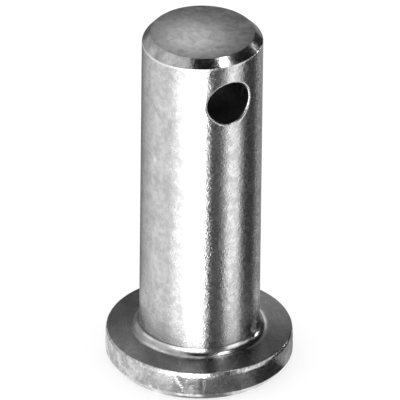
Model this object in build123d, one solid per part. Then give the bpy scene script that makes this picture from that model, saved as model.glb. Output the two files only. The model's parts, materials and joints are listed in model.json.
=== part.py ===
from build123d import *
import math
import os

# A clevis pin: a plain round shank with a flat round head at one end, a chamfered free end, and
# a cross hole near that end for a split pin. It is turned from bar in one piece.
# Millimetres. The origin is the centre of the head's outer face, +Z runs along the axis to the
# free end, and the cross hole runs along Y.

# Shank, for eyes of the nominal diameter
NOMINAL_DIAMETER = 10.0
RUNNING_CLEARANCE = 0.05
LENGTH_UNDER_HEAD = 28.0
END_CHAMFER = 0.7

# Head
HEAD_DIAMETER = 15.5
HEAD_THICKNESS = 2.75
HEAD_CHAMFER_WIDTH = 0.5
HEAD_CHAMFER_HEIGHT = 0.7

# Cross hole
HOLE_DIAMETER = 3.8
HOLE_TO_END = 4.25

# Corners
NECK_FILLET = 0.6
HEAD_RIM_RADIUS = 0.15
END_EDGE_RADIUS = 0.1
HOLE_EDGE_RADIUS = 0.2

# How far a cutting tool runs past the surface that it leaves
TOOL_OVERRUN = 1.0

SHANK_DIAMETER = NOMINAL_DIAMETER - RUNNING_CLEARANCE
SHANK_RADIUS = SHANK_DIAMETER / 2
HEAD_RADIUS = HEAD_DIAMETER / 2
TOTAL_LENGTH = HEAD_THICKNESS + LENGTH_UNDER_HEAD
HOLE_HEIGHT = TOTAL_LENGTH - HOLE_TO_END


def corner_arc(centre, radius, start_angle, end_angle):
    """An arc of the section's outline, by its centre, its radius and its two angles in degrees."""

    def on_arc(angle):
        turn = math.radians(angle)
        return (centre[0] + radius * math.cos(turn), centre[1] + radius * math.sin(turn))

    middle_angle = (start_angle + end_angle) / 2
    return ThreePointArc(on_arc(start_angle), on_arc(middle_angle), on_arc(end_angle))


def half_section():
    """The closed half section, with radius across and height up, from the head to the free end."""
    rim_centre = (HEAD_RADIUS - HEAD_RIM_RADIUS, HEAD_THICKNESS - HEAD_RIM_RADIUS)
    rim = corner_arc(rim_centre, HEAD_RIM_RADIUS, 0, 90)
    neck_centre = (SHANK_RADIUS + NECK_FILLET, HEAD_THICKNESS + NECK_FILLET)
    neck = corner_arc(neck_centre, NECK_FILLET, 270, 180)
    with BuildSketch(Plane.XZ) as section:
        with BuildLine():
            Polyline(
                rim @ 0,
                (HEAD_RADIUS, HEAD_CHAMFER_HEIGHT),
                (HEAD_RADIUS - HEAD_CHAMFER_WIDTH, 0),
                (0, 0),
                (0, TOTAL_LENGTH),
                (SHANK_RADIUS - END_CHAMFER, TOTAL_LENGTH),
                (SHANK_RADIUS, TOTAL_LENGTH - END_CHAMFER),
                neck @ 1,
            )
            add(neck)
            Line(neck @ 0, rim @ 1)
            add(rim)
        make_face()
    return section.sketch


def at_height(height):
    """A test for an edge that runs round the axis at one height."""
    return lambda edge: edge.geom_type == GeomType.CIRCLE and abs(edge.center().Z - height) < 1e-6


def turned_blank():
    """The pin as it leaves the lathe, with the two corners of its end chamfer eased."""
    blank = revolve(half_section(), Axis.Z)
    corners = [at_height(TOTAL_LENGTH), at_height(TOTAL_LENGTH - END_CHAMFER)]
    eased = [edge for edge in blank.edges() if any(test(edge) for test in corners)]
    return fillet(eased, END_EDGE_RADIUS)


def cross_drilled(blank):
    """The blank with the split pin's hole drilled through it and both of the hole's mouths deburred."""
    drill = Cylinder(HOLE_DIAMETER / 2, SHANK_DIAMETER + 2 * TOOL_OVERRUN, rotation=(90, 0, 0))
    drilled = blank - Pos(0, 0, HOLE_HEIGHT) * drill
    mouths = [edge for edge in drilled.edges() if edge.geom_type not in (GeomType.CIRCLE, GeomType.LINE)]
    return fillet(mouths, HOLE_EDGE_RADIUS)


clevis_pin = cross_drilled(turned_blank())

os.makedirs("parts", exist_ok=True)
export_step(clevis_pin, "parts/clevis_pin.step")
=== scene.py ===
"""A plated steel clevis pin, standing on its head, with the studio that it is seen in.

The pin's mesh is turned from one half section, and its split pin's hole is worked into the wall
of the shank. Its finishes are built from nodes. Sizes are in millimetres until a mesh is made.
"""
import json
import logging
import math
from dataclasses import dataclass, field, replace
from enum import Enum

import bmesh
import bpy
from mathutils import Matrix, Vector, noise

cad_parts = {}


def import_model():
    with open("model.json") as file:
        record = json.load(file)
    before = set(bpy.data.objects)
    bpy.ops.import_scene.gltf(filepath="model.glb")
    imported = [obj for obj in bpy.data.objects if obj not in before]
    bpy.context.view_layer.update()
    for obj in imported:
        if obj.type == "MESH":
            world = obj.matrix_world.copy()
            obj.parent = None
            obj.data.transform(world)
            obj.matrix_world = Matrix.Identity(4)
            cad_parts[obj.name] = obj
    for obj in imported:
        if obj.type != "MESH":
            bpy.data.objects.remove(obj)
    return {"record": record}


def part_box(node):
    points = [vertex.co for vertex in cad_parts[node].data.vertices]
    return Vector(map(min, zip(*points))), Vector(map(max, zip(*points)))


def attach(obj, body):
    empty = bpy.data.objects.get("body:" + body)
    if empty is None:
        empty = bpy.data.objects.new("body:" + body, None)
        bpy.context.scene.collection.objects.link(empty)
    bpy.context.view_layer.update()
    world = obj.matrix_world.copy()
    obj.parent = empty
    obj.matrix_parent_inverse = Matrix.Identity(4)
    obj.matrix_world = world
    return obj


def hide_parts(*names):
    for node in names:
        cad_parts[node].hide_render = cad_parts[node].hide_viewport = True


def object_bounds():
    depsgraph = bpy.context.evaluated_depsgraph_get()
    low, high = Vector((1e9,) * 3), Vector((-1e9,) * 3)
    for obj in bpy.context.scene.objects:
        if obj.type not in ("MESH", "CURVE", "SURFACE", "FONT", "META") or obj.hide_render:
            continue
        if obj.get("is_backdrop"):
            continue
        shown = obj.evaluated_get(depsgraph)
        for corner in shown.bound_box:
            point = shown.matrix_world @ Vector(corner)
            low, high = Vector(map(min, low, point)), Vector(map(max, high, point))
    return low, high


LOG = logging.getLogger("clevis_pin")
MM = 0.001
MICROMETRE = 1e-6

# Heights in millimetres that differ by less than this are the same.
NEARLY = 1e-6

Socket = bpy.types.NodeSocket
Vert = bmesh.types.BMVert

# The direction that the front of the studio faces, in degrees round the pin's axis from -Y.
STUDIO_FRONT = -28.4

# The parts of a cloud's range over which a finish goes from its least to its most tone or roughness.
TONE_RANGE = (0.36, 0.64)
GLOSS_RANGE = (0.35, 0.65)

# A quarter of a turn of the shine's direction, which sets it across the lathe rings.
QUARTER_TURN = 0.25


class Zone(Enum):
    """The pin's surfaces, each with a finish of its own."""

    SHANK = "shank"
    NECK = "neck"
    SHOULDER = "shoulder"
    END_CHAMFER = "end_chamfer"
    END_FACE = "end_face"
    BEARING_FACE = "bearing_face"
    HEAD_SIDE = "head_side"
    HEAD_FACE = "head_face"
    BORE = "bore"


def clamp(value: float) -> float:
    """A number kept between 0 and 1."""
    return min(1.0, max(0.0, value))


def polar(radius: float, angle: float, height: float) -> Vector:
    """The place at a distance from the axis, at an angle in radians from +X and at a height."""
    return Vector((radius * math.cos(angle), radius * math.sin(angle), height))


def stand(name: str, data: bpy.types.ID) -> bpy.types.Object:
    """Puts a mesh or camera into the scene.

    Args:
        name: The object's name.
        data: The mesh or camera.

    Returns:
        The object.
    """
    thing = bpy.data.objects.new(name, data)
    bpy.context.scene.collection.objects.link(thing)
    return thing


def setback(radius: float, turn: float) -> float:
    """How far a rounding takes up its corner's sides, where they turn by an angle in degrees."""
    return radius * math.tan(math.radians(turn / 2))


@dataclass(frozen=True)
class Turn:
    """One ring of the turned section.

    Args:
        radius: Distance from the axis.
        height: Height above the head's outer face.
        zone: The surface that runs from this ring to the next one.
    """

    radius: float
    height: float
    zone: Zone

    @property
    def spot(self) -> tuple[float, float]:
        """Its radius and height."""
        return self.radius, self.height


def arc_turns(centre: tuple[float, float], radius: float, start: float, end: float, steps: int,
              zone: Zone) -> list[Turn]:
    """Rings along an arc of the section.

    Args:
        centre: The arc's centre, as radius and height.
        radius: The arc's own radius.
        start: First angle in degrees, 0 pointing away from the axis and 90 up.
        end: Last angle in degrees.
        steps: Number of spans along the arc.
        zone: The surface that the arc belongs to.

    Returns:
        The rings, both ends included.
    """
    rings = []
    for step in range(steps + 1):
        angle = math.radians(start + (end - start) * step / steps)
        rings.append(Turn(centre[0] + radius * math.cos(angle), centre[1] + radius * math.sin(angle), zone))
    return rings


def line_turns(start: tuple[float, float], end: tuple[float, float], steps: int, zone: Zone) -> list[Turn]:
    """Rings along a straight run of the section, without its two ends.

    Args:
        start: Radius and height where the run begins.
        end: Radius and height where it ends.
        steps: Number of spans along the run.
        zone: The surface that the run belongs to.

    Returns:
        The rings between the two ends.
    """
    rings = []
    for step in range(1, steps):
        share = step / steps
        rings.append(Turn(start[0] + (end[0] - start[0]) * share, start[1] + (end[1] - start[1]) * share, zone))
    return rings


@dataclass(frozen=True)
class Nick:
    """A mark knocked into the side of the head.

    Args:
        bearing: Where it is, in degrees round the axis from +X.
        height: Height of its middle above the head's outer face.
        width: Its width round the head.
        length: Its length up the head.
        depth: How deep it goes, or how far it stands out where it is negative.
        slant: How many millimetres it drifts round the head over one millimetre up.
    """

    bearing: float
    height: float
    width: float
    length: float
    depth: float
    slant: float = 0.0

    def cut(self, bearing: float, height: float, radius: float) -> float:
        """How much the nick takes off the head's radius at one place.

        Args:
            bearing: The place, in degrees round the axis from +X.
            height: Its height above the head's outer face.
            radius: The head's radius.

        Returns:
            The depth there, in millimetres.
        """
        turn = (bearing - self.bearing + 180.0) % 360.0 - 180.0
        across = math.radians(turn) * radius - self.slant * (height - self.height)
        along = height - self.height
        return self.depth * math.exp(-((across / self.width) ** 2) - (along / self.length) ** 4)


@dataclass(frozen=True)
class Wear:
    """The fine unevenness of a surface's wear, in millimetres.

    Args:
        depth: Its mean depth.
        bumps: The depth of each layer of bumps, and how many of them there are to a millimetre.
        first_fade: How far from the surface's first edge it takes to come to its full depth.
        last_fade: How far before the last edge it begins to fade out.
    """

    depth: float
    bumps: tuple[tuple[float, float], ...]
    first_fade: float
    last_fade: float

    def at(self, spot: Vector) -> float:
        """Its depth at a place, away from the surface's edges."""
        return self.depth + sum(deep * noise.noise(spot * close) for deep, close in self.bumps)

    def share(self, first: float, last: float) -> float:
        """How much of it is left at a distance from the surface's first and last edge, from 0 to 1."""
        return clamp(first / self.first_fade) * clamp(last / self.last_fade)


@dataclass(frozen=True)
class Spans:
    """How many spans each run of the pin's section is divided into."""

    head_face: int = 14
    head_edge: int = 3
    head_chamfer: int = 4
    head_crease: int = 4
    head_side: int = 16
    head_rim: int = 4
    bearing_face: int = 64
    neck: int = 12
    below_hole: int = 44
    beside_hole: int = 16
    above_hole: int = 3
    shoulder: int = 6
    end_chamfer: int = 8
    end_edge: int = 5
    end_face: int = 28


@dataclass
class PinSizes:
    """The pin's sizes in millimetres. The frame gives the first six of them.

    Args:
        shank_radius: The shank's radius.
        head_radius: The head's radius.
        head_thickness: The head's thickness.
        total_length: The length from the head's outer face to the free end.
        hole_radius: The radius of the split pin's hole.
        hole_height: Height of the hole's axis.
        neck_radius: Radius of the curve from the shank to the face under the head.
        end_chamfer: Width and height of the free end's chamfer.
        end_edge: Rounding between that chamfer and the end's face.
        shoulder_edge: Rounding between the shank and that chamfer.
        head_chamfer_width: How far the head's chamfer goes inwards.
        head_chamfer_height: How far it goes up.
        face_inset: How far within the head's chamfer the outer face's last ring is.
        rim_width: Width of the bevel round the face under the head.
        rim_height: Its height.
        rim_edge: Width and height of its last facet.
        small_edge: Rounding of the head chamfer's two edges.
        hole_edge: Rounding of the hole's two mouths.
        face_fall: How far the face under the head falls to its edge.
        end_face_share: The share of the end face's radius where its outermost ring is.
        lean_depth: How much deeper the end chamfer is cut on one side.
        lean_bearing: The direction of that side, in degrees from +X.
        lean_start: How far below the chamfer that cut comes to its full depth.
    """

    shank_radius: float
    head_radius: float
    head_thickness: float
    total_length: float
    hole_radius: float
    hole_height: float
    neck_radius: float = 0.75
    end_chamfer: float = 0.7
    end_edge: float = 0.1
    shoulder_edge: float = 0.2
    head_chamfer_width: float = 0.5
    head_chamfer_height: float = 0.7
    face_inset: float = 0.05
    rim_width: float = 0.14
    rim_height: float = 0.26
    rim_edge: float = 0.04
    small_edge: float = 0.08
    hole_edge: float = 0.2
    face_fall: float = 0.08
    end_face_share: float = 0.985
    lean_depth: float = 0.24
    lean_bearing: float = STUDIO_FRONT - 160.0
    lean_start: float = 0.08

    @property
    def shoulder(self) -> float:
        """Height where the shank ends and the free end's chamfer begins."""
        return self.total_length - self.end_chamfer

    @classmethod
    def from_frame(cls, record: dict, node: str) -> "PinSizes":
        """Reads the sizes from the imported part.

        Args:
            record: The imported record.
            node: The CAD node's name.

        Returns:
            The sizes.
        """
        low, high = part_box(node)
        mounts = {mount["name"]: mount for mount in record["mounts"]}
        return cls(
            shank_radius=mounts["shank"]["dims"]["r_mm"],
            head_radius=high[0] / MM,
            head_thickness=mounts["bearing_face"]["pos_m"][2] / MM,
            total_length=(high[2] - low[2]) / MM,
            hole_radius=mounts["split_pin_hole"]["dims"]["r_mm"],
            hole_height=mounts["split_pin_hole"]["pos_m"][2] / MM,
        )


@dataclass
class TurnedPin:
    """The pin's body: head, neck, shank and free end, with the split pin's hole through it.

    Args:
        sizes: The pin's sizes.
        nicks: Marks on the head's side.
        columns: Facets round the axis, a multiple of four.
        spans: The spans of the section's runs.
        window_columns: Columns to each side of the hole that its mouth is worked into.
        window_reach: How far the mouth's patch goes above and below the hole's centre.
        rows_to_hole: The rings of a mouth's patch, 1 at its border and 0 at the hole's edge.
        edge_spans: Spans of the mouth's rounding, from the shank's wall almost to the bore's.
        edge_turn: Degrees that the rounding turns in each of them.
        bore_spans: Spans along the bore.
        bore_swell: Depth of the drill's spiral in the bore, in millimetres.
        bore_turns: How many bumps the spiral has along the bore.
        bore_fade: The share of the bore, from each mouth, in which the spiral fades out.
        groove_depth: Depth of the lathe tool's grooves in the face under the head, in millimetres.
        groove_fade: How far from that face's edges they fade out, in millimetres.
        side_marks: The hammered unevenness of the head's side.
        end_marks: The unevenness of the free end's face.
    """

    sizes: PinSizes
    nicks: list[Nick] = field(default_factory=list)
    columns: int = 320
    spans: Spans = Spans()
    window_columns: int = 27
    window_reach: float = 2.9
    rows_to_hole: tuple[float, ...] = (0.8, 0.6, 0.42, 0.27, 0.14, 0.05)
    edge_spans: int = 6
    edge_turn: float = 18.0
    bore_spans: int = 20
    bore_swell: float = 0.01
    bore_turns: float = 14.0
    bore_fade: float = 0.08
    groove_depth: float = 0.006
    groove_fade: float = 0.15
    side_marks: Wear = Wear(0.0088, ((0.008, 1.6), (0.006, 3.6)), 0.25, 0.1)
    end_marks: Wear = Wear(0.006, ((0.008, 0.8), (0.003, 2.3)), 0.3, 0.3)

    def section(self) -> list[Turn]:
        """The rings from the head's outer face to the free end's face, without the axis.

        Returns:
            The rings in order.
        """
        s, n = self.sizes, self.spans
        edge = s.head_radius - s.head_chamfer_width
        rings = [Turn(r, 0.0, Zone.HEAD_FACE) for r in self.face_radii(edge - s.face_inset, n.head_face)]
        slope = math.degrees(math.atan2(s.head_chamfer_height, s.head_chamfer_width))
        foot = (edge - setback(s.small_edge, slope), s.small_edge)
        rings += arc_turns(foot, s.small_edge, -90, slope - 90, n.head_edge, Zone.HEAD_SIDE)
        crease = (s.head_radius - s.small_edge, s.head_chamfer_height + setback(s.small_edge, 90 - slope))
        side = arc_turns(crease, s.small_edge, slope - 90, 0, n.head_crease, Zone.HEAD_SIDE)
        rings += line_turns(rings[-1].spot, side[0].spot, n.head_chamfer, Zone.HEAD_SIDE)
        rings += side
        rim = Turn(s.head_radius - s.rim_width, s.head_thickness - s.face_fall, Zone.BEARING_FACE)
        bevel = (s.head_radius, rim.height - s.rim_height)
        last = Turn(rim.radius + s.rim_edge, rim.height - s.rim_edge, Zone.HEAD_SIDE)
        rings += line_turns(side[-1].spot, bevel, n.head_side, Zone.HEAD_SIDE)
        rings += line_turns(bevel, last.spot, n.head_rim, Zone.HEAD_SIDE)
        rings += [last, rim]
        neck = (s.shank_radius + s.neck_radius, s.head_thickness + s.neck_radius)
        rings += line_turns(rim.spot, (neck[0], s.head_thickness), n.bearing_face, Zone.BEARING_FACE)
        rings += arc_turns(neck, s.neck_radius, 270, 180, n.neck, Zone.NECK)
        rings[-1] = replace(rings[-1], zone=Zone.SHANK)
        rings += [Turn(s.shank_radius, height, Zone.SHANK) for height in self.shank_heights(neck[1])]
        shoulder = (s.shank_radius - s.shoulder_edge, s.shoulder - setback(s.shoulder_edge, 45))
        rings += arc_turns(shoulder, s.shoulder_edge, 0, 45, n.shoulder, Zone.SHOULDER)
        rings[-1] = replace(rings[-1], zone=Zone.END_CHAMFER)
        crown = (s.shank_radius - s.end_chamfer - setback(s.end_edge, 45), s.total_length - s.end_edge)
        end = arc_turns(crown, s.end_edge, 45, 90, n.end_edge, Zone.END_FACE)
        rings += line_turns(rings[-1].spot, end[0].spot, n.end_chamfer, Zone.END_CHAMFER)
        rings += end
        radii = self.face_radii(rings[-1].radius * s.end_face_share, n.end_face)
        return rings + [Turn(radius, s.total_length, Zone.END_FACE) for radius in reversed(radii)]

    def face_radii(self, outer: float, count: int) -> list[float]:
        """Radii of the rings over a flat face, from near the axis to its edge."""
        return [outer * (index + 1) / count for index in range(count)]

    def window(self) -> tuple[float, float]:
        """Heights of the lower and upper border of the hole's patch."""
        return self.sizes.hole_height - self.window_reach, self.sizes.hole_height + self.window_reach

    def patch_rows(self, rings: list[Turn]) -> range:
        """The rings that cross the hole's patch.

        Args:
            rings: The section's rings.

        Returns:
            Their places in the section, from the patch's lower border to its upper one.
        """
        low, high = self.window()
        rows = [row for row, ring in enumerate(rings)
                if ring.zone is Zone.SHANK and low - NEARLY <= ring.height <= high + NEARLY]
        return range(rows[0], rows[-1] + 1)

    def mouths(self) -> tuple[int, int]:
        """The columns at the middle of the hole's mouths, on +Y and on -Y."""
        return self.columns // 4, 3 * self.columns // 4

    def shank_heights(self, foot: float) -> list[float]:
        """Heights of the shank's rings, with two of them on the borders of the hole's patch.

        Args:
            foot: Height where the plain shank begins.

        Returns:
            The heights above the foot and below the end chamfer.
        """
        n = self.spans
        low, high = self.window()
        top = self.sizes.shoulder - self.sizes.shoulder_edge / 2
        below = [foot + (low - foot) * step / n.below_hole for step in range(1, n.below_hole)]
        beside = [low + (high - low) * step / n.beside_hole for step in range(n.beside_hole + 1)]
        above = [high + (top - high) * step / n.above_hole for step in range(1, n.above_hole)]
        return below + beside + above

    def place(self, ring: Turn, column: int) -> Vector:
        """A point of the turned surface, with its small unevenness, in millimetres.

        Args:
            ring: The ring that it lies on.
            column: Its place round the axis.

        Returns:
            The point.
        """
        angle = 2.0 * math.pi * column / self.columns
        radius, height = ring.radius, ring.height
        if ring.zone is Zone.BEARING_FACE:
            height -= self.turning_groove(radius, angle)
        if ring.zone is Zone.HEAD_SIDE:
            radius -= self.side_wear(angle, height)
        if ring.zone is Zone.END_FACE:
            height -= self.end_wear(radius, angle)
        if ring.zone in (Zone.SHANK, Zone.SHOULDER, Zone.END_CHAMFER):
            height -= self.chamfer_lean(angle, height)
        return polar(radius, angle, height)

    def chamfer_lean(self, angle: float, height: float) -> float:
        """How much lower the free end is cut on the deep side of its chamfer.

        Args:
            angle: The place's angle round the axis in radians, from +X.
            height: Its height.

        Returns:
            The difference there, in millimetres.
        """
        s = self.sizes
        start = self.window()[1]
        rise = clamp((height - start) / (s.shoulder - s.lean_start - start))
        fall = clamp((s.total_length - s.end_edge - height) / (s.end_chamfer - s.end_edge))
        side = max(0.0, math.cos(angle - math.radians(s.lean_bearing)))
        return s.lean_depth * side * side * rise * fall

    def turning_groove(self, radius: float, angle: float) -> float:
        """Depth of the lathe tool's grooves in the face under the head.

        Args:
            radius: The place's distance from the axis.
            angle: Its angle round the axis in radians, from +X.

        Returns:
            The depth there, in millimetres.
        """
        s = self.sizes
        inner, outer = s.shank_radius + s.neck_radius, s.head_radius - s.rim_width
        fade = clamp((outer - radius) / self.groove_fade) * clamp((radius - inner) / self.groove_fade)
        wander = 0.3 * noise.noise(polar(1.0, angle, 3.0) * 1.4)
        wide = noise.noise(Vector((radius * 9.0 + wander, 0.4, 1.7)))
        narrow = noise.noise(Vector((radius * 21.0, 5.2, 0.3)))
        return fade * self.groove_depth * (0.5 + wide + 0.5 * narrow)

    def side_wear(self, angle: float, height: float) -> float:
        """Depth of the nicks and the hammered unevenness of the head's side.

        Args:
            angle: The place's angle round the axis in radians, from +X.
            height: Its height.

        Returns:
            The depth there, in millimetres.
        """
        s = self.sizes
        share = self.side_marks.share(height, s.head_thickness - height)
        cut = sum(nick.cut(math.degrees(angle), height, s.head_radius) for nick in self.nicks)
        return max(0.0, share * (self.side_marks.at(polar(s.head_radius, angle, height)) + cut))

    def end_wear(self, radius: float, angle: float) -> float:
        """Depth of the shallow unevenness of the free end's face.

        Args:
            radius: The place's distance from the axis.
            angle: Its angle round the axis in radians, from +X.

        Returns:
            The depth there, in millimetres.
        """
        s = self.sizes
        share = self.end_marks.share(math.inf, s.shank_radius - s.end_chamfer - radius)
        return share * self.end_marks.at(polar(radius, angle, 7.0))

    def build(self, name: str, finishes: dict[Zone, bpy.types.Material]) -> bpy.types.Object:
        """Makes the pin's mesh and object.

        Args:
            name: The object's name.
            finishes: The material of each surface.

        Returns:
            The object, linked to the scene.
        """
        zones = list(Zone)
        work = bmesh.new()
        rings = self.section()
        rows = self.patch_rows(rings)
        reach, mouths = self.window_columns, self.mouths()
        grid: list[list[Vert | None]] = []
        for index, ring in enumerate(rings):
            row: list[Vert | None] = []
            for column in range(self.columns):
                hidden = index in rows[1:-1] and any(abs(column - mouth) < reach for mouth in mouths)
                row.append(None if hidden else work.verts.new(self.place(ring, column) * MM))
            grid.append(row)
        for index, ring in enumerate(rings[:-1]):
            for column in range(self.columns):
                if index in rows[:-1] and any(-reach <= column - mouth < reach for mouth in mouths):
                    continue
                following = (column + 1) % self.columns
                corners = (grid[index][column], grid[index][following],
                           grid[index + 1][following], grid[index + 1][column])
                work.faces.new(corners).material_index = zones.index(ring.zone)
        self.close_face(work, grid[0], 0.0, zones.index(Zone.HEAD_FACE), flip=True)
        end_height = self.sizes.total_length - self.end_wear(0.0, 0.0)
        self.close_face(work, grid[-1], end_height, zones.index(Zone.END_FACE), flip=False)
        self.drill(work, rows, grid, zones)
        bmesh.ops.recalc_face_normals(work, faces=work.faces)
        mesh = bpy.data.meshes.new(name)
        work.to_mesh(mesh)
        work.free()
        mesh.polygons.foreach_set("use_smooth", [True] * len(mesh.polygons))
        for zone in zones:
            mesh.materials.append(finishes[zone])
        return stand(name, mesh)

    def close_face(self, work: bmesh.types.BMesh, row: list[Vert], height: float, material: int, flip: bool) -> None:
        """Closes a flat face's middle with a fan of facets.

        Args:
            work: The mesh being made.
            row: The face's innermost ring.
            height: The height of the middle.
            material: Index of its finish.
            flip: Whether the face looks down.
        """
        middle = work.verts.new(Vector((0.0, 0.0, height)) * MM)
        for column, vert in enumerate(row):
            following = row[(column + 1) % len(row)]
            corners = (middle, following, vert) if flip else (middle, vert, following)
            work.faces.new(corners).material_index = material

    def drill(self, work: bmesh.types.BMesh, rows: range, grid: list[list[Vert | None]], zones: list[Zone]) -> None:
        """Works the split pin's hole into the shank's wall: two deburred mouths and the bore between them.

        Args:
            work: The mesh being made.
            rows: The rings that cross the hole's patch.
            grid: The vertices of each ring.
            zones: The order of the finishes.
        """
        reach = self.window_columns
        border = [(rows[0], offset) for offset in range(-reach, reach)]
        border += [(row, reach) for row in rows[:-1]]
        border += [(rows[-1], offset) for offset in range(reach, -reach, -1)]
        border += [(row, -reach) for row in reversed(rows[1:])]
        rims: list[list[Vert]] = []
        for column, side in zip(self.mouths(), (1, -1)):
            outer = [grid[row][(column - side * offset) % self.columns] for row, offset in border]
            mouth = [outer]
            for spread in self.rows_to_hole:
                mouth.append([work.verts.new(self.patch_point(vert.co, spread, side) * MM) for vert in outer])
            for step in range(self.edge_spans):
                turn = math.radians(90.0 - self.edge_turn * step)
                mouth.append([work.verts.new(self.edge_point(vert.co, turn, side) * MM) for vert in outer])
            self.bridge(work, mouth, zones.index(Zone.SHANK))
            rims.append(mouth[-1])
        near, far = rims
        bore = [near]
        for step in range(1, self.bore_spans):
            share = step / self.bore_spans
            bore.append([work.verts.new(self.bore_point(a.co.lerp(b.co, share) / MM, share) * MM)
                         for a, b in zip(near, far)])
        self.bridge(work, bore + [far], zones.index(Zone.BORE))

    def bore_point(self, point: Vector, share: float) -> Vector:
        """A point of the bore's wall, moved in or out by the drill's faint spiral.

        Args:
            point: The point on the plain wall.
            share: How far through the bore it lies, from 0 to 1.

        Returns:
            The moved point.
        """
        across = Vector((point.x, 0.0, point.z - self.sizes.hole_height))
        angle = math.atan2(across.z, across.x)
        fade = min(1.0, share / self.bore_fade, (1.0 - share) / self.bore_fade)
        swell = self.bore_swell * fade * noise.noise(Vector((share * self.bore_turns + angle / math.pi, 2.0, 9.0)))
        return point + across.normalized() * swell

    def local(self, co: Vector, side: float) -> tuple[float, float]:
        """A border vertex's place in a mouth's patch: across the shank's wall, and up from the hole's centre."""
        across = math.atan2(co.x, side * co.y) * self.sizes.shank_radius
        return across, co.z / MM - self.sizes.hole_height

    def wall_point(self, across: float, up: float, side: float) -> Vector:
        """The point on the shank's wall at a place in a mouth's patch."""
        radius, height = self.sizes.shank_radius, self.sizes.hole_height + up
        return Vector((radius * math.sin(across / radius), side * radius * math.cos(across / radius), height))

    def edge_place(self, co: Vector, reach: float, side: float) -> tuple[float, float]:
        """The place on a ring round the hole, seen along its axis, that faces a border vertex."""
        across, up = self.local(co, side)
        return reach * across / math.hypot(across, up), reach * up / math.hypot(across, up)

    def patch_point(self, co: Vector, spread: float, side: float) -> Vector:
        """A point of a mouth's patch between the hole's edge and the patch's border.

        Args:
            co: The border vertex that it faces.
            spread: 0 at the hole's edge and 1 at the border.
            side: 1 for the mouth on +Y and -1 for the one on -Y.

        Returns:
            The point.
        """
        across, up = self.local(co, side)
        x, z = self.edge_place(co, self.sizes.hole_radius + self.sizes.hole_edge, side)
        start = math.asin(x / self.sizes.shank_radius) * self.sizes.shank_radius
        return self.wall_point(start + (across - start) * spread, z + (up - z) * spread, side)

    def edge_point(self, co: Vector, turn: float, side: float) -> Vector:
        """A point of a mouth's rounded edge.

        Args:
            co: The border vertex that it faces.
            turn: Angle round the edge, 90 degrees on the shank's wall and 0 in the bore.
            side: 1 for the mouth on +Y and -1 for the one on -Y.

        Returns:
            The point.
        """
        s = self.sizes
        x, z = self.edge_place(co, s.hole_radius + s.hole_edge * (1.0 - math.cos(turn)), side)
        depth = s.hole_edge * (1.0 - math.sin(turn))
        wall = math.sqrt(s.shank_radius ** 2 - x ** 2)
        return Vector((x, side * (wall - depth), s.hole_height + z))

    def bridge(self, work: bmesh.types.BMesh, loops: list[list[Vert]], material: int) -> None:
        """Joins neighbouring loops of vertices with facets.

        Args:
            work: The mesh being made.
            loops: The loops in order, all with the same number of vertices.
            material: Index of the finish.
        """
        for first, second in zip(loops, loops[1:]):
            for place in range(len(first)):
                following = (place + 1) % len(first)
                face = work.faces.new((first[place], first[following], second[following], second[place]))
                face.material_index = material


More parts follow.
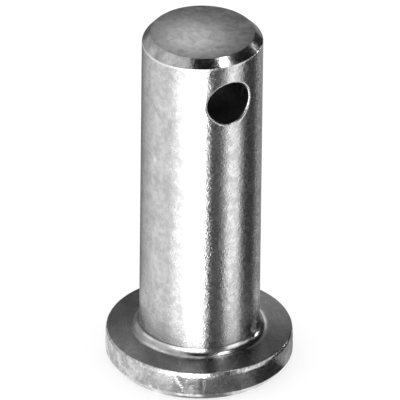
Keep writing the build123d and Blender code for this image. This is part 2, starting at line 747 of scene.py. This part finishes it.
class NodeBench:
    """Adds shader nodes to one tree and joins them up."""

    def __init__(self, tree: bpy.types.NodeTree) -> None:
        """Takes a tree and empties it."""
        self.tree = tree
        tree.nodes.clear()

    def add(self, kind: str, **settings: object) -> bpy.types.Node:
        """A new node with its settings.

        Args:
            kind: The node's type name.
            settings: Attributes to set on it.

        Returns:
            The node.
        """
        node = self.tree.nodes.new(kind)
        for key, value in settings.items():
            setattr(node, key, value)
        return node

    def feed(self, socket: Socket, value: object) -> None:
        """Sets a socket's value, or joins it to another node's output.

        Args:
            socket: The socket.
            value: The value or the output.
        """
        if isinstance(value, Socket):
            self.tree.links.new(value, socket)
        else:
            socket.default_value = value

    def made(self, kind: str, fed: dict[int | str, object], **settings: object) -> Socket:
        """The result of a new node.

        Args:
            kind: The node's type name.
            fed: What its inputs get, by their number or name.
            settings: Attributes to set on it.

        Returns:
            Its first output.
        """
        node = self.add(kind, **settings)
        for socket, value in fed.items():
            self.feed(node.inputs[socket], value)
        return node.outputs[0]

    def show(self, kind: str, shader: Socket) -> None:
        """Joins a shader to a new output node."""
        self.feed(self.add(kind).inputs["Surface"], shader)

    def math(self, operation: str, *values: object) -> Socket:
        """One step of arithmetic on numbers or outputs, by Blender's name for it."""
        return self.made("ShaderNodeMath", dict(enumerate(values)), operation=operation)

    def smooth(self, value: Socket, start: float, end: float, low: float = 0.0, high: float = 1.0) -> Socket:
        """A soft step of a value: low up to start, and high from end on."""
        fed = dict(enumerate((value, start, end, low, high)))
        return self.made("ShaderNodeMapRange", fed, interpolation_type="SMOOTHSTEP", clamp=True)

    def within(self, value: Socket, reach: float, soft: float) -> Socket:
        """1 where a value is under a limit and 0 over it, with a soft edge."""
        return self.smooth(value, reach - soft / 2, reach + soft / 2, 1.0, 0.0)

    def degrees_from(self, bearing: Socket, middle: float) -> Socket:
        """How many degrees a bearing is away from a middle, to either side."""
        return self.math("ABSOLUTE", self.math("WRAP", self.math("SUBTRACT", bearing, middle), 180.0, -180.0))

    def distance(self, x: Socket, y: Socket) -> Socket:
        """How far two steps at a right angle lead."""
        return self.math("SQRT", self.math("ADD", self.math("MULTIPLY", x, x), self.math("MULTIPLY", y, y)))

    def parts(self, place: Socket) -> list[Socket]:
        """The x, y and z of a place or direction.

        Args:
            place: The place or direction.

        Returns:
            The three of them.
        """
        node = self.add("ShaderNodeSeparateXYZ")
        self.feed(node.inputs[0], place)
        return list(node.outputs)

    def blend(self, share: object, first: object, second: object) -> Socket:
        """A mix of two numbers: the first at share 0 and the second at share 1."""
        return self.made("ShaderNodeMix", {0: share, 2: first, 3: second}, data_type="FLOAT", clamp_factor=True)

    def fade(self, share: object, first: Socket, second: Socket) -> Socket:
        """A mix of two shaders: the first at share 0 and the second at share 1."""
        return self.made("ShaderNodeMixShader", {0: share, 1: first, 2: second})

    def grey(self, value: Socket) -> Socket:
        """A neutral colour from one number."""
        return self.made("ShaderNodeCombineColor", {0: value, 1: value, 2: value}, mode="RGB")

    def cloud(self, place: Socket, grain: float, detail: float = 2.0, rough: float = 0.5, bend: float = 0.0) -> Socket:
        """Fractal noise with features of a given size.

        Args:
            place: The coordinates, in metres.
            grain: Size of its features in millimetres.
            detail: How many finer layers it has.
            rough: How strong those layers are.
            bend: How much it is warped.

        Returns:
            Its value, about 0 to 1.
        """
        fed = {"Vector": place, "Scale": 1.0 / (grain * MM), "Detail": detail, "Roughness": rough, "Distortion": bend}
        return self.made("ShaderNodeTexNoise", fed, noise_dimensions="3D")


@dataclass(frozen=True)
class PaintedGlint:
    """A small pale spot on one of the pin's round sides: a painted glint, where a small dent catches the light.

    Args:
        bearing: Its direction from the axis, in degrees from -Y.
        radius: Its distance from the axis in millimetres.
        height: Its middle's height in millimetres.
        across: Half its width in millimetres.
        tall: Half its height.
        core: How far out it is wholly pale, as a share of its half width or height.
        rim: How far out it ends.
        tone: Its reflectance.
    """

    bearing: float
    radius: float
    height: float
    across: float
    tall: float
    core: float = 0.6
    rim: float = 1.3
    tone: float = 0.98

    def middle(self) -> Vector:
        """Its middle, in millimetres."""
        turn = math.radians(self.bearing)
        return Vector((self.radius * math.sin(turn), -self.radius * math.cos(turn), self.height))


@dataclass(frozen=True)
class PlatedSteel:
    """Bright plated steel, with a fine mottle in its tone, gloss and surface.

    Args:
        name: The material's name.
        tone: Its mean reflectance, from 0 to 1.
        tone_swing: How much the tone varies.
        gloss: Its least roughness.
        gloss_swing: How much rougher it gets.
        patch: Size of the cloudy patches in millimetres.
        patch_share: How much of the tone's swing comes from those patches, from 0 to 1.
        grain: Size of the finest grain in millimetres.
        ripple: Height of the surface's ripples in micrometres.
        grit: Height of its grain in micrometres.
        rings: Depth of lathe rings round the axis in micrometres.
        ring_pitch: Their spacing in millimetres.
        turned: How far the rings draw the shine out across them, from 0 to 1.
        painted_sheen: How much paler the finish is in its middle than at its rim: a painted sheen, pale as a
            highlight.
        painted_sheen_radius: Distance in millimetres over which that painted sheen fades.
        painted_sheen_place: The middle of the painted sheen, in millimetres from the pin's axis.
        painted_sheen_core: The share of that distance in which it is wholly pale.
        painted_sheen_fray: How far the painted sheen's edge is broken up, in the same share.
        painted_glints: Small pale spots of painted glint on it.
        foot: Height in millimetres below which the tone is darkened, a painted shade in the crease, or 0 where there
            is none.
        foot_fade: How far above that height it takes to come back to its full tone.
        foot_share: How much of its tone it keeps in that painted shade.
    """

    name: str
    tone: float = 0.70
    tone_swing: float = 0.10
    gloss: float = 0.16
    gloss_swing: float = 0.10
    patch: float = 1.6
    patch_share: float = 0.5
    grain: float = 0.13
    ripple: float = 18.0
    grit: float = 13.0
    rings: float = 0.0
    ring_pitch: float = 0.12
    turned: float = 0.0
    painted_sheen: float = 0.0
    painted_sheen_radius: float = 4.0
    painted_sheen_place: tuple[float, float] = (0.0, 0.0)
    painted_sheen_core: float = 0.15
    painted_sheen_fray: float = 1.2
    painted_glints: tuple[PaintedGlint, ...] = ()
    foot: float = 0.0
    foot_fade: float = 0.06
    foot_share: float = 0.36

    def material(self) -> bpy.types.Material:
        """Builds the finish from nodes.

        Returns:
            The material.
        """
        material = bpy.data.materials.new(self.name)
        material.use_nodes = True
        bench = NodeBench(material.node_tree)
        place = bench.add("ShaderNodeTexCoord").outputs["Object"]
        patches = bench.cloud(place, self.patch, detail=3.0, rough=0.55, bend=0.4)
        grains = bench.cloud(place, self.grain, detail=2.0, rough=0.6)
        mid = bench.cloud(place, self.grain * 4.0, detail=3.0, rough=0.6)
        fine = bench.math("ADD", bench.math("MULTIPLY", mid, 0.6), bench.math("MULTIPLY", grains, 0.4))
        mixed = bench.blend(self.patch_share, fine, patches)
        spread = bench.smooth(mixed, *TONE_RANGE)
        tone = bench.blend(spread, self.tone - self.tone_swing, self.tone + self.tone_swing)
        # Painted sheen: the tone is paler round a middle, a painted highlight.
        if self.painted_sheen > 0.0:
            tone = bench.math("MULTIPLY", tone, self.painted_sheen_share(bench, place, patches))
        # Painted glints: small spots whose tone is raised almost to white.
        for glint in self.painted_glints:
            tone = bench.blend(self.painted_glint_mask(bench, place, glint), tone, glint.tone)
        # Painted shade: the tone is darker at the neck's foot, in the crease against the face under the head.
        if self.foot > 0.0:
            tone = bench.math("MULTIPLY", tone, self.painted_crease_shade(bench, place))
        rough = bench.blend(bench.smooth(mid, *GLOSS_RANGE), self.gloss + self.gloss_swing, self.gloss)
        relief = bench.math("ADD", bench.math("MULTIPLY", mid, self.ripple), bench.math("MULTIPLY", grains, self.grit))
        if self.rings > 0.0:
            relief = bench.math("ADD", relief, self.lathe_rings(bench, place))
        normal = bench.made("ShaderNodeBump", {"Height": relief, "Distance": MICROMETRE})
        fed = {"Base Color": bench.grey(tone), "Metallic": 1.0, "Roughness": rough, "Normal": normal}
        if self.turned > 0.0:
            tangent = bench.made("ShaderNodeTangent", {}, direction_type="RADIAL", axis="Z")
            fed |= {"Anisotropic": self.turned, "Anisotropic Rotation": QUARTER_TURN, "Tangent": tangent}
        bench.show("ShaderNodeOutputMaterial", bench.made("ShaderNodeBsdfPrincipled", fed))
        return material

    def painted_sheen_share(self, bench: NodeBench, place: Socket, patches: Socket) -> Socket:
        """How much of its tone the finish keeps: most in the painted sheen, a pale patch that stands in for a
        highlight, and least far from it.

        Args:
            bench: The material's nodes.
            place: The coordinates, in metres.
            patches: Noise that breaks up the patch's edge.

        Returns:
            The share, from 0 to 1.
        """
        x, y = bench.parts(place)[:2]
        away = bench.distance(bench.math("SUBTRACT", x, self.painted_sheen_place[0] * MM),
                              bench.math("SUBTRACT", y, self.painted_sheen_place[1] * MM))
        frayed = bench.math("ADD", bench.math("DIVIDE", away, self.painted_sheen_radius * MM),
                            bench.math("MULTIPLY", bench.math("SUBTRACT", patches, 0.5), self.painted_sheen_fray))
        return bench.smooth(frayed, self.painted_sheen_core, 1.0, 1.0, 1.0 - self.painted_sheen)

    def painted_glint_mask(self, bench: NodeBench, place: Socket, glint: PaintedGlint) -> Socket:
        """1 on a painted glint and 0 away from it.

        Args:
            bench: The material's nodes.
            place: The coordinates, in metres.
            glint: The painted glint.

        Returns:
            The mask.
        """
        apart = bench.made("ShaderNodeVectorMath", {0: place, 1: glint.middle() * MM}, operation="SUBTRACT")
        reach = Vector((glint.across, glint.across, glint.tall)) * MM
        scaled = bench.made("ShaderNodeVectorMath", {0: apart, 1: reach}, operation="DIVIDE")
        away = bench.add("ShaderNodeVectorMath", operation="LENGTH")
        bench.feed(away.inputs[0], scaled)
        return bench.smooth(away.outputs["Value"], glint.core, glint.rim, 1.0, 0.0)

    def painted_crease_shade(self, bench: NodeBench, place: Socket) -> Socket:
        """How much of its tone the finish keeps at a height, least at its foot, where it paints the shade of the
        crease.

        Args:
            bench: The material's nodes.
            place: The coordinates, in metres.

        Returns:
            The share, from 0 to 1.
        """
        height = bench.parts(place)[2]
        return bench.smooth(height, self.foot * MM, (self.foot + self.foot_fade) * MM, self.foot_share, 1.0)

    def lathe_rings(self, bench: NodeBench, place: Socket) -> Socket:
        """The height of fine lathe rings round the pin's axis.

        Args:
            bench: The material's nodes.
            place: The coordinates, in metres.

        Returns:
            The height in micrometres.
        """
        x, y = bench.parts(place)[:2]
        fed = {"W": bench.distance(x, y), "Scale": 1.0 / (self.ring_pitch * MM), "Detail": 2.0}
        line = bench.made("ShaderNodeTexNoise", fed, noise_dimensions="1D")
        return bench.math("MULTIPLY", line, self.rings)


@dataclass(frozen=True)
class StudioCard:
    """A soft light panel or dark card, given by the directions from which the pin sees it.

    Args:
        name: What it is.
        bearing: Its middle, in degrees to the right of the studio's front.
        half_width: Half its width in degrees.
        rise: Its middle above the horizon in degrees.
        half_height: Half its height in degrees.
        level: How bright it is, where 1 is a white surface in plain light.
        soft: Width of its soft edge in degrees.
    """

    name: str
    bearing: float
    half_width: float
    rise: float
    half_height: float
    level: float
    soft: float = 6.0


@dataclass(frozen=True)
class PaintedFloorPatch:
    """A patch on the floor beside the pin, which only the metal's reflections see: painted shade where it is dark,
    standing for the pin's shadow on the floor, and painted light where it is pale.

    Args:
        name: What it is.
        bearing: Its middle, in degrees to the right of the studio's front.
        half_width: Half its width in degrees.
        inner: Its inner edge's distance from the pin's axis in millimetres.
        outer: Its outer edge's distance.
        level: How bright it is.
        soft: Width of its soft edge in degrees.
    """

    name: str
    bearing: float
    half_width: float
    inner: float
    outer: float
    level: float
    soft: float = 8.0


@dataclass
class Studio:
    """The room: a pale floor, soft light, the cards that the metal mirrors, and painted light and shade on the floor
    near the pin, which only the metal sees.

    Args:
        front: The direction of the studio's front, in degrees from -Y.
        cards: The panels and cards, each over the ones before it.
        painted_floor_patches: The painted light and shade on the floor close to the pin, which only the metal sees.
        room_level: The brightness that the metal mirrors where there is no card.
        soft_level: The brightness that lights the floor.
        floor_side: The floor's side in metres.
        floor_tone: How much of the light the floor gives back.
        floor_glow: What is added to that in the picture, so that the floor is pale.
        painted_floor_light: The brightness painted on the floor near the pin as the metal sees it, a glow that stands
            for the lit floor where there is no painted patch.
        cards_begin: Where the mirrored floor sets in, in millimetres from the pin's axis.
        cards_end: Where it gives way to the room's cards.
        patch_edge: Half the width of a painted floor patch's soft inner and outer edge in millimetres.
    """

    front: float
    cards: list[StudioCard]
    painted_floor_patches: list[PaintedFloorPatch]
    room_level: float = 0.55
    soft_level: float = 1.0
    floor_side: float = 1.2
    floor_tone: float = 0.40
    floor_glow: float = 0.66
    painted_floor_light: float = 0.75
    cards_begin: tuple[float, float] = (7.0, 7.1)
    cards_end: tuple[float, float] = (12.0, 13.5)
    patch_edge: float = 0.1

    def light(self) -> None:
        """Builds the world's light from nodes."""
        world = bpy.data.worlds.new("studio")
        bpy.context.scene.world = world
        world.use_nodes = True
        bench = NodeBench(world.node_tree)
        parts = bench.parts(bench.add("ShaderNodeTexCoord").outputs["Generated"])
        bearing = self.bearing(bench, parts)
        rise = bench.math("DEGREES", bench.math("ARCSINE", parts[2]))
        level: object = self.room_level
        for card in self.cards:
            level = bench.blend(self.card_mask(bench, card, bearing, rise), level, card.level)
        rays = bench.add("ShaderNodeLightPath")
        mirrored = bench.blend(rays.outputs["Is Glossy Ray"], self.soft_level, level)
        shown = bench.blend(rays.outputs["Is Camera Ray"], mirrored, 1.0)
        bench.show("ShaderNodeOutputWorld", bench.made("ShaderNodeBackground", {"Color": bench.grey(shown)}))

    def along(self, bench: NodeBench, parts: list[Socket], x: float, y: float) -> Socket:
        """How far a place or direction lies along a level line."""
        return bench.math("ADD", bench.math("MULTIPLY", parts[0], x), bench.math("MULTIPLY", parts[1], y))

    def bearing(self, bench: NodeBench, parts: list[Socket]) -> Socket:
        """The bearing of a place or direction from the pin's axis.

        Args:
            bench: The nodes.
            parts: Its x, y and z.

        Returns:
            The angle to the right of the front, in degrees.
        """
        turn = math.radians(self.front)
        ahead = self.along(bench, parts, math.sin(turn), -math.cos(turn))
        right = self.along(bench, parts, math.cos(turn), math.sin(turn))
        return bench.math("DEGREES", bench.math("ARCTAN2", right, ahead))

    def card_mask(self, bench: NodeBench, card: StudioCard, bearing: Socket, rise: Socket) -> Socket:
        """1 where a direction meets the card and 0 where it misses.

        Args:
            bench: The world's nodes.
            card: The card.
            bearing: The direction's angle to the right of the front, in degrees.
            rise: Its angle above the horizon, in degrees.

        Returns:
            The mask.
        """
        across = bench.within(bench.degrees_from(bearing, card.bearing), card.half_width, card.soft)
        lift = bench.math("ABSOLUTE", bench.math("SUBTRACT", rise, card.rise))
        return bench.math("MULTIPLY", across, bench.within(lift, card.half_height, card.soft))

    def painted_patch_mask(self, bench: NodeBench, card: PaintedFloorPatch, bearing: Socket, away: Socket) -> Socket:
        """1 where a place on the floor lies on the painted patch and 0 elsewhere.

        Args:
            bench: The floor's nodes.
            card: The painted patch.
            bearing: The place's angle to the right of the front, in degrees.
            away: Its distance from the pin's axis in millimetres.

        Returns:
            The mask.
        """
        across = bench.within(bench.degrees_from(bearing, card.bearing), card.half_width, card.soft)
        inside = bench.smooth(away, card.inner - self.patch_edge, card.inner + self.patch_edge)
        outside = bench.within(away, card.outer, 2 * self.patch_edge)
        return bench.math("MULTIPLY", across, bench.math("MULTIPLY", inside, outside))

    def lay_floor(self) -> bpy.types.Object:
        """Lays the pale floor under the pin.

        Returns:
            The floor.
        """
        mesh = bpy.data.meshes.new("floor")
        half = self.floor_side / 2
        mesh.from_pydata([(-half, -half, 0), (half, -half, 0), (half, half, 0), (-half, half, 0)], [], [(0, 1, 2, 3)])
        mesh.materials.append(self.floor_finish())
        floor = stand("floor", mesh)
        floor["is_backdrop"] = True
        return floor

    def floor_finish(self) -> bpy.types.Material:
        """Builds the floor's finish, with the painted light and shade near the pin that only the metal's reflections
        see.

        Returns:
            The material.
        """
        material = bpy.data.materials.new("pale_floor")
        material.use_nodes = True
        bench = NodeBench(material.node_tree)
        rays = bench.add("ShaderNodeLightPath")
        diffuse = bench.made("ShaderNodeBsdfDiffuse", {"Color": (*[self.floor_tone] * 3, 1.0)})
        strength = bench.math("MULTIPLY", rays.outputs["Is Camera Ray"], self.floor_glow)
        glow = bench.made("ShaderNodeEmission", {"Strength": strength})
        seen = bench.made("ShaderNodeAddShader", {0: diffuse, 1: glow})
        parts = bench.parts(bench.add("ShaderNodeNewGeometry").outputs["Position"])
        away = bench.math("DIVIDE", bench.distance(parts[0], parts[1]), MM)
        bearing = self.bearing(bench, parts)
        # Near the pin the metal sees the floor as a glow with painted light and shade on it.
        level: object = self.painted_floor_light
        for card in self.painted_floor_patches:
            level = bench.blend(self.painted_patch_mask(bench, card, bearing, away), level, card.level)
        mirrored = bench.made("ShaderNodeEmission", {"Color": bench.grey(level)})
        beyond = bench.math("MAXIMUM", bench.smooth(away, *self.cards_end),
                            bench.smooth(away, *self.cards_begin, 1.0, 0.0))
        near = bench.fade(beyond, mirrored, bench.made("ShaderNodeBsdfTransparent", {}))
        bench.show("ShaderNodeOutputMaterial", bench.fade(rays.outputs["Is Glossy Ray"], seen, near))
        return material


@dataclass(frozen=True)
class LongLens:
    """The camera, far in front of the pin and above it.

    Args:
        front: The direction of the studio's front, in degrees from -Y.
        rise: How far above the horizon the camera stands, in degrees.
        roll: How far it is turned about its line of sight, in degrees.
        away: Its distance from the pin's middle in metres.
        left: How far it is moved to the left, in metres.
        down: How far it is moved down, in metres.
        focal: Its focal length in millimetres.
        sensor: Its sensor's width in millimetres.
        nearest: The nearest that it sees, in metres.
        farthest: The farthest that it sees.
    """

    front: float
    rise: float = 31.0
    roll: float = 0.66
    away: float = 1.4
    left: float = 0.00006
    down: float = 0.00057
    focal: float = 1533.0
    sensor: float = 36.0
    nearest: float = 0.1
    farthest: float = 10.0

    def set_up(self, middle: Vector) -> bpy.types.Object:
        """Sets up the camera and makes it the scene's.

        Args:
            middle: The middle of the pin.

        Returns:
            The camera.
        """
        data = bpy.data.cameras.new("camera")
        data.sensor_width = self.sensor
        data.lens = self.focal
        data.clip_start, data.clip_end = self.nearest, self.farthest
        camera = stand("camera", data)
        turn, rise = math.radians(self.front), math.radians(self.rise)
        back = Vector((math.sin(turn) * math.cos(rise), -math.cos(turn) * math.cos(rise), math.sin(rise)))
        right = Vector((math.cos(turn), math.sin(turn), 0.0))
        up = back.cross(right)
        facing = Matrix((right, up, back)).transposed() @ Matrix.Rotation(math.radians(self.roll), 3, "Z")
        camera.rotation_mode = "QUATERNION"
        camera.rotation_quaternion = facing.to_quaternion()
        camera.location = middle + back * self.away - up * self.down - right * self.left
        bpy.context.scene.camera = camera
        return camera


def studio_cards() -> list[StudioCard]:
    """The panels and cards round the pin, from the widest to the smallest."""
    return [StudioCard(*card) for card in (
        ("left wall, far", -128.0, 64.0, 20.0, 44.0, 0.40, 20.0),
        ("back left corner", -166.0, 20.0, 10.0, 30.0, 0.17, 14.0),
        ("left floor, far", -128.0, 64.0, -54.0, 40.0, 0.60, 20.0),
        ("left wall, near", -79.0, 28.0, -34.0, 48.0, 0.89, 24.0),
        ("left rail", -80.0, 36.0, 7.0, 8.0, 0.9, 8.0),
        ("left wall, middle", -85.0, 38.0, 35.0, 22.0, 0.50, 10.0),
        ("right side", 100.0, 80.0, 0.0, 60.0, 0.25, 30.0),
        ("low back", 180.0, 42.0, -44.0, 24.0, 0.42, 14.0),
        ("low back, left", -168.0, 20.0, -24.0, 20.0, 0.12, 10.0),
        ("front left, upper", -62.0, 26.0, 33.0, 13.0, 0.65, 10.0),
        ("front right, upper", 61.0, 15.0, 33.0, 13.0, 1.0, 8.0),
        ("front panel, dim side", -31.0, 22.0, -28.0, 52.0, 1.6, 18.0),
        ("front panel", -8.0, 18.0, -29.0, 54.0, 3.8, 6.0),
        ("dark slot", 29.0, 19.5, -20.0, 60.0, 0.08, 8.0),
        ("right strip", 64.75, 15.75, -28.0, 44.0, 1.3, 6.0),
        ("dark flag", 101.5, 22.5, -20.0, 60.0, 0.02, 8.0),
        ("right middle flag", 118.0, 34.0, 8.0, 24.0, 0.02, 6.0),
        ("overhead flag", 15.0, 45.0, 62.0, 20.0, 0.0, 14.0),
        ("right upper flag", 105.0, 53.0, 46.0, 17.0, 0.0, 5.0),
        ("strip's upper end", 86.0, 11.0, 10.0, 10.0, 0.8, 6.0),
        ("overhead flag, back", 140.0, 80.0, 78.0, 16.0, 0.03, 6.0),
        ("back panel, left", -168.0, 12.0, 43.0, 8.0, 1.0, 8.0),
        ("back panel, right", 169.0, 11.0, 19.0, 10.0, 1.0, 8.0),
        ("left upper panel", -130.0, 28.0, 57.0, 11.0, 0.9, 8.0),
        ("lamp", 56.0, 8.5, 53.0, 6.5, 5.0, 9.0),
        ("top lamp", 78.0, 12.0, 68.0, 5.0, 4.0, 3.0),
        ("neck lamp", 120.5, 3.0, 9.0, 7.0, 4.8, 2.0),
        ("chamfer lamp", 124.0, 2.5, 20.0, 2.5, 1.2, 1.5),
        ("floor glow", 0.0, 181.0, -84.0, 18.0, 1.1, 10.0),
    )]


def painted_floor_patches() -> list[PaintedFloorPatch]:
    """The painted light and shade on the floor close to the pin, which only the metal sees: the dark patches stand for
    the pin's shadow, the pale ones for the lit floor.
    """
    return [PaintedFloorPatch(*card) for card in (
        ("pale left", -90.0, 66.0, 7.6, 30.0, 0.82, 10.0),
        ("grey front", -6.0, 14.0, 7.6, 30.0, 0.45, 8.0),
        ("dark front right", 38.0, 37.0, 7.6, 30.0, 0.14, 6.0),
        ("darker right", 58.0, 14.0, 7.6, 30.0, 0.03, 8.0),
        ("grey right", 93.0, 19.0, 7.6, 30.0, 0.32, 8.0),
        ("white under the edge", 0.0, 181.0, 6.9, 7.6, 1.0, 4.0),
        ("dark under the edge", 10.0, 9.0, 6.9, 7.6, 0.15, 10.0),
        ("bright under the edge", -6.0, 8.0, 7.4, 7.6, 1.7, 6.0),
        # A painted contact shadow under the head's edge.
        ("dark line under the edge", 3.0, 20.0, 6.9, 7.42, 0.30, 20.0),
    )]


def head_glints(sizes: PinSizes) -> tuple[PaintedGlint, ...]:
    """The painted glints on the side of the head: pale streaks where its nicks catch the light."""
    marks = ((3.3, 1.5, 0.13, 0.85), (-4.8, 1.05, 0.26, 0.50), (-31.0, 0.75, 0.20, 0.16), (8.0, 2.0, 0.10, 0.12))
    return tuple(PaintedGlint(STUDIO_FRONT + turn, sizes.head_radius, *mark) for turn, *mark in marks)


def pin_finishes(sizes: PinSizes) -> dict[Zone, bpy.types.Material]:
    """The finish of each of the pin's surfaces.

    Args:
        sizes: The pin's sizes.

    Returns:
        The materials.
    """
    turn, aside = math.radians(STUDIO_FRONT - 40.0), 1.4
    left_of_middle = (aside * math.sin(turn), -aside * math.cos(turn))
    # A painted glint on the shank.
    shank_glint = PaintedGlint(STUDIO_FRONT - 49.6, sizes.shank_radius, sizes.head_thickness + 17.7, 0.2, 0.2)
    finishes = {
        Zone.SHANK: PlatedSteel("bright_plating", gloss=0.215, gloss_swing=0.10, turned=1.0, painted_glints=(shank_glint,)),
        # The neck's foot is darkened: painted shade in the crease under the head.
        Zone.NECK: PlatedSteel("bright_neck", gloss=0.17, gloss_swing=0.05, ripple=4.0, grit=2.0,
                               foot=sizes.head_thickness),
        # The shoulder's real rounding catches the light, and its paler tone paints that highlight brighter.
        Zone.SHOULDER: PlatedSteel("burnished_shoulder", tone=0.94, tone_swing=0.05, gloss=0.22, ripple=20.0),
        Zone.END_CHAMFER: PlatedSteel("bright_chamfer", tone=0.68, tone_swing=0.16, patch=1.3, patch_share=0.6,
                                      gloss=0.14, gloss_swing=0.06, ripple=14.0, grit=3.0),
        # The end's face carries a painted sheen: its tone is paler round a middle beside the axis.
        Zone.END_FACE: PlatedSteel("cropped_end", tone=0.80, tone_swing=0.20, gloss=0.42, gloss_swing=0.20,
                                   patch=1.6, patch_share=0.75, ripple=26.0, grit=12.0, painted_sheen=0.66, painted_sheen_radius=4.6,
                                   painted_sheen_place=left_of_middle),
        # The face under the head is a much darker copy of the plating: painted shade.
        Zone.BEARING_FACE: PlatedSteel("turned_face", tone=0.22, tone_swing=0.04, gloss=0.26, gloss_swing=0.08,
                                       rings=1.0, ripple=3.0, grit=1.5, turned=0.85),
        Zone.HEAD_SIDE: PlatedSteel("head_side", tone=0.66, tone_swing=0.24, gloss=0.17, ripple=34.0,
                                    patch=1.2, grain=0.18, painted_glints=head_glints(sizes)),
        Zone.HEAD_FACE: PlatedSteel("head_face", tone=0.60, tone_swing=0.12, gloss=0.26),
        # The bore is a much darker copy of the plating: painted shade inside the hole.
        Zone.BORE: PlatedSteel("drilled_bore", tone=0.10, tone_swing=0.03, gloss=0.4, gloss_swing=0.15,
                               ripple=14.0, grit=5.0),
    }
    return {zone: finish.material() for zone, finish in finishes.items()}


def head_nicks() -> list[Nick]:
    """The marks on the side of the head."""
    front = STUDIO_FRONT - 90.0
    return [Nick(front + turn, *mark) for turn, *mark in (
        (2.1, 1.4, 0.12, 0.90, 0.030, 0.05),
        (-11.0, 1.7, 0.16, 0.80, 0.075, -0.55),
        (-6.0, 1.1, 0.14, 0.60, 0.050, 0.15),
        (24.0, 1.9, 0.35, 0.40, 0.020, 0.4),
        (41.0, 1.5, 0.40, 0.50, 0.025, 0.2),
    )]


def main() -> None:
    """Builds the pin and the studio."""
    logging.basicConfig(level=logging.INFO, format="%(name)s: %(message)s")
    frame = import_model()
    cad_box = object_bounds()
    scene = bpy.context.scene
    scene.view_settings.view_transform = "Standard"
    LongLens(STUDIO_FRONT).set_up((cad_box[0] + cad_box[1]) / 2)
    studio = Studio(STUDIO_FRONT, studio_cards(), painted_floor_patches())
    studio.light()
    studio.lay_floor()
    sizes = PinSizes.from_frame(frame["record"], "clevis_pin")
    pin = TurnedPin(sizes, nicks=head_nicks()).build("turned_pin", pin_finishes(sizes))
    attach(pin, "root")
    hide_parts("clevis_pin")
    LOG.info("%s: %d facets", pin.name, len(pin.data.polygons))


if __name__ == "__main__":
    main()
